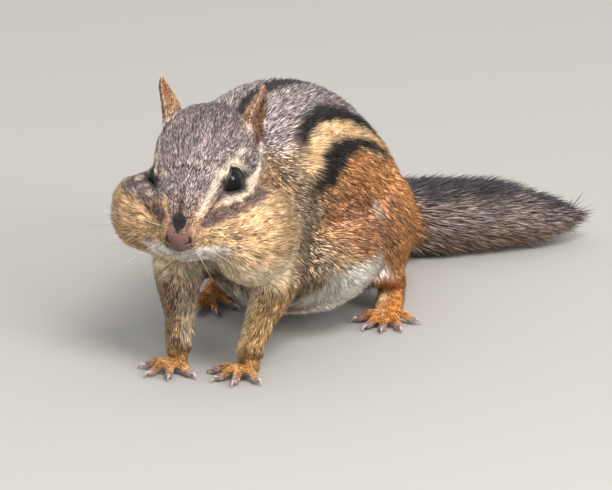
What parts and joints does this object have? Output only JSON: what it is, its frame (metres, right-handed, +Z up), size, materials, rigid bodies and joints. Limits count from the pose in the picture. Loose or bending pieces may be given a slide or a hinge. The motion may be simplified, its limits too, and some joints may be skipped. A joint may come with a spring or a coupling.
{
  "type": "chipmunk",
  "caption": "Life-size still model of a chipmunk with full cheek pouches, crouched on all fours with its striped back arched and its bushy tail laid to one side.",
  "frame": {"origin": "on the floor, under the middle of the animal's box", "axes": "-Y the way the animal faces, +X its left side, +Z up from the floor"},
  "size_m": [0.0804, 0.1426, 0.069],
  "materials": {
    "agouti_fur": "dense short fur, grizzled grey-brown",
    "striped_fur": "dense short fur, rust with black and cream stripes",
    "ochre_fur": "short fur, ochre to buff",
    "tail_fur": "long fur, grey-brown with a dark fringe",
    "ear_skin": "thin bare to finely haired skin",
    "eye": "wet, glossy, almost black",
    "claw": "smooth dark horn"
  },
  "bodies": {
    "root": {"cheek_left": "ochre_fur", "cheek_right": "ochre_fur", "chest": "agouti_fur", "ear_left": "ear_skin", "ear_right": "ear_skin", "eye_left": "eye", "eye_right": "eye", "forefoot_left": "ochre_fur", "forefoot_left_claw_1": "claw", "forefoot_left_claw_2": "claw", "forefoot_left_claw_3": "claw", "forefoot_left_claw_4": "claw", "forefoot_right": "ochre_fur", "forefoot_right_claw_1": "claw", "forefoot_right_claw_2": "claw", "forefoot_right_claw_3": "claw", "forefoot_right_claw_4": "claw", "foreleg_left": "ochre_fur", "foreleg_right": "ochre_fur", "head": "agouti_fur", "hindfoot_left": "ochre_fur", "hindfoot_left_claw_1": "claw", "hindfoot_left_claw_2": "claw", "hindfoot_left_claw_3": "claw", "hindfoot_left_claw_4": "claw", "hindfoot_left_claw_5": "claw", "hindfoot_right": "ochre_fur", "hindfoot_right_claw_1": "claw", "hindfoot_right_claw_2": "claw", "hindfoot_right_claw_3": "claw", "hindfoot_right_claw_4": "claw", "hindfoot_right_claw_5": "claw", "loin": "striped_fur", "neck": "agouti_fur", "nose": "ear_skin", "rump": "striped_fur", "shank_left": "striped_fur", "shank_right": "striped_fur", "tail_base": "tail_fur", "tail_middle": "tail_fur", "tail_tip": "tail_fur", "thigh_left": "striped_fur", "thigh_right": "striped_fur"}
  },
  "joints": []
}
